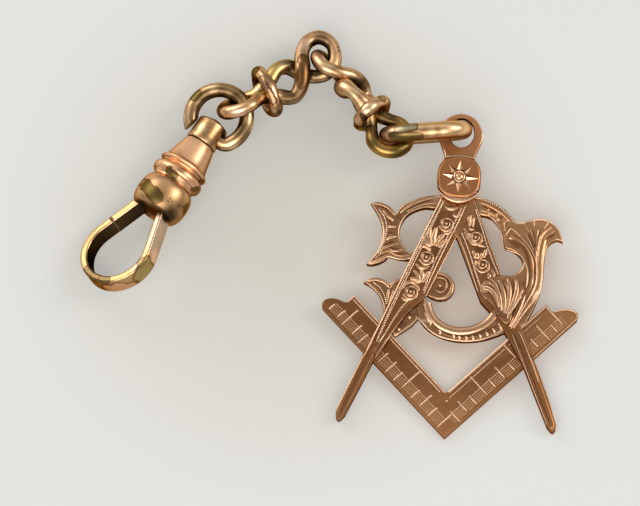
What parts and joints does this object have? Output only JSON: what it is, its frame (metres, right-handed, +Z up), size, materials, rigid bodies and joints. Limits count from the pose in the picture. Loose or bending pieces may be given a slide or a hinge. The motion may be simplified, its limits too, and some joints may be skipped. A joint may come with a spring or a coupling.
{
  "type": "masonic watch fob",
  "caption": "Watch fob in worn rose-gold metal: square and compasses pendant with pierced scrollwork, oval ring, knotted wire links and a swivel clasp with a sprung gate, lying flat.",
  "frame": {"origin": "on the supporting surface, under the middle of the whole fob's bounding box", "axes": "+Z up from the surface, +X to the right along the fob's longest extent with the pendant at the right and the clasp at the left, +Y away from the viewer, from the pendant's corner towards its eye"},
  "size_m": [0.055, 0.0474, 0.0067],
  "materials": {
    "rose_gold": "polished edges with brown patina in the hollows",
    "yellow_gold": "worn polish, rose-gold plate over yellow brass",
    "clasp_gold": "worn polish"
  },
  "bodies": {
    "fob": {"pendant": "rose_gold", "pendant_ring": "yellow_gold", "knot_link_a": "yellow_gold", "knot_link_b": "yellow_gold", "clasp_ring": "clasp_gold", "swivel_barrel": "clasp_gold"},
    "clasp": {"clasp_body": "clasp_gold"},
    "gate": {"clasp_gate": "clasp_gold"}
  },
  "joints": [
    {"name": "clasp_swivel", "type": "hinge", "parent": "fob", "child": "clasp", "pos_m": [-0.01844, 0.00345, 0.00312], "axis": [0.5402, 0.8415, 0], "continuous": true},
    {"name": "gate_hinge", "type": "hinge", "parent": "clasp", "child": "gate", "pos_m": [-0.02039, 0.00333, 0.00236], "axis": [-0.3663, 0.2351, 0.9003], "range_deg": [0, 28], "stiffness_Nm_per_rad": 0.002, "springref_deg": -5.73}
  ]
}
